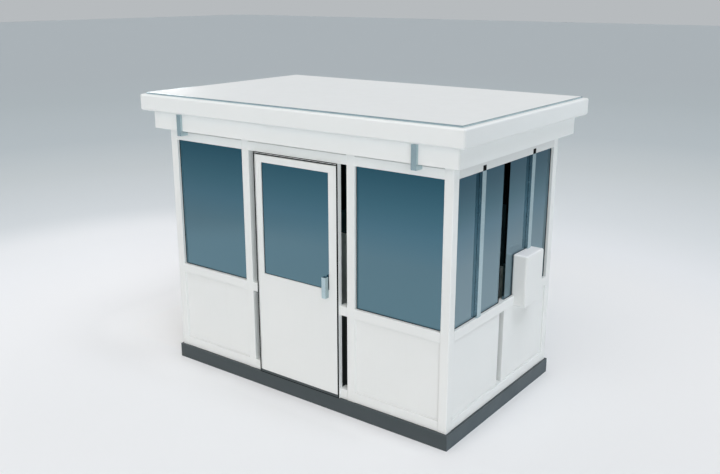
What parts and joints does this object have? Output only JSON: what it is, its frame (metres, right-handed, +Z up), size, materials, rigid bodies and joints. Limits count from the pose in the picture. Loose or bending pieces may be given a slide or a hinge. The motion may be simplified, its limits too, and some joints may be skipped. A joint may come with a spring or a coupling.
{
  "type": "security guard booth",
  "caption": "Prefabricated white guard booth with a charcoal base, dark tinted windows, a hinged glazed door, a side cabinet and a flat overhanging roof.",
  "frame": {"origin": "on the floor under the middle of the booth", "axes": "+X along the long front, to the right when facing the door from outside; +Y from the door front to the back; +Z up"},
  "size_m": [3.416, 2.174, 2.629],
  "materials": {
    "white_frame": "satin white coat",
    "white_panel": "satin white coat",
    "white_roof": "satin white coat",
    "tinted_glass": "dark blue-green reflective",
    "grey_trim": "satin blue-grey",
    "black_rubber": "matt",
    "dark_base": "satin charcoal coat",
    "floor_sheet": "matt dark sheet",
    "bare_steel": "plain"
  },
  "bodies": {
    "booth": {"back_bottom_rails": "white_frame", "back_header_rails": "white_frame", "back_panels": "white_panel", "back_posts": "white_frame", "back_sill_rails": "white_frame", "back_windows": "tinted_glass", "base_end_beams": "dark_base", "base_long_beams": "dark_base", "ceiling_panel": "white_roof", "corner_posts": "white_frame", "door_end_seals": "black_rubber", "door_head": "white_frame", "door_jambs": "white_frame", "door_pivot_pins": "bare_steel", "door_side_seals": "black_rubber", "door_threshold": "dark_base", "eaves_brackets": "grey_trim", "eaves_end_boards": "white_roof", "eaves_long_boards": "white_roof", "floor_deck": "floor_sheet", "floor_joists": "bare_steel", "front_bottom_rails": "white_frame", "front_header_rails": "white_frame", "front_panels": "white_panel", "front_posts": "white_frame", "front_sill_rails": "white_frame", "front_windows": "tinted_glass", "guide_blocks": "black_rubber", "left_mid_posts": "white_frame", "left_panels": "white_panel", "left_rails": "white_frame", "left_windows": "tinted_glass", "right_mid_stud": "white_frame", "right_panels": "white_panel", "right_rails": "white_frame", "right_windows": "tinted_glass", "roof_cap": "white_roof", "roof_end_trims": "grey_trim", "roof_long_trims": "grey_trim", "roof_sheet": "white_roof", "side_cabinet": "white_panel", "window_bars": "grey_trim"},
    "door": {"door_leaf": "white_panel", "door_glass": "tinted_glass", "door_handle": "grey_trim"}
  },
  "joints": [
    {"name": "door_hinge", "type": "hinge", "parent": "booth", "child": "door", "pos_m": [-0.4325, -0.91, 0.136], "axis": [0, 0, -1], "range_deg": [0, 90]}
  ]
}
